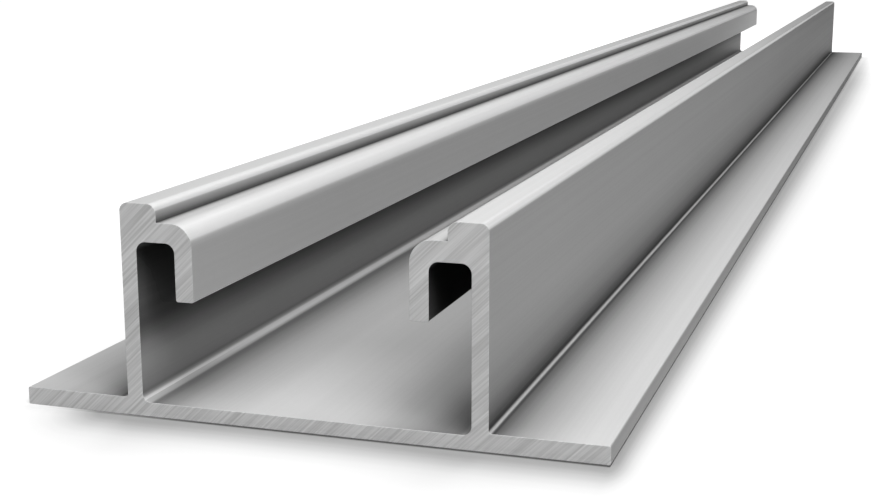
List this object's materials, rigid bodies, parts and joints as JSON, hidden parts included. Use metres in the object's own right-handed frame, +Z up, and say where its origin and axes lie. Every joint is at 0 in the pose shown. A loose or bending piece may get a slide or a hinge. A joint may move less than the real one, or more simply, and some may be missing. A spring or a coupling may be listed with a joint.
{
  "type": "solar mounting rail",
  "caption": "Extruded aluminium rail for solar panels: flat base with side flanges, upright webs and inward hooked lips that form an undercut clamp channel.",
  "frame": {"origin": "centre of the flat underside", "axes": "+Y along the rail, +X across it towards the right-hand flange, +Z up from the base to the ribs"},
  "size_m": [0.08, 0.64, 0.0285],
  "materials": {
    "aluminium": "mill finish extrusion with saw-cut ends"
  },
  "bodies": {
    "root": {"rail": "aluminium"}
  },
  "joints": []
}
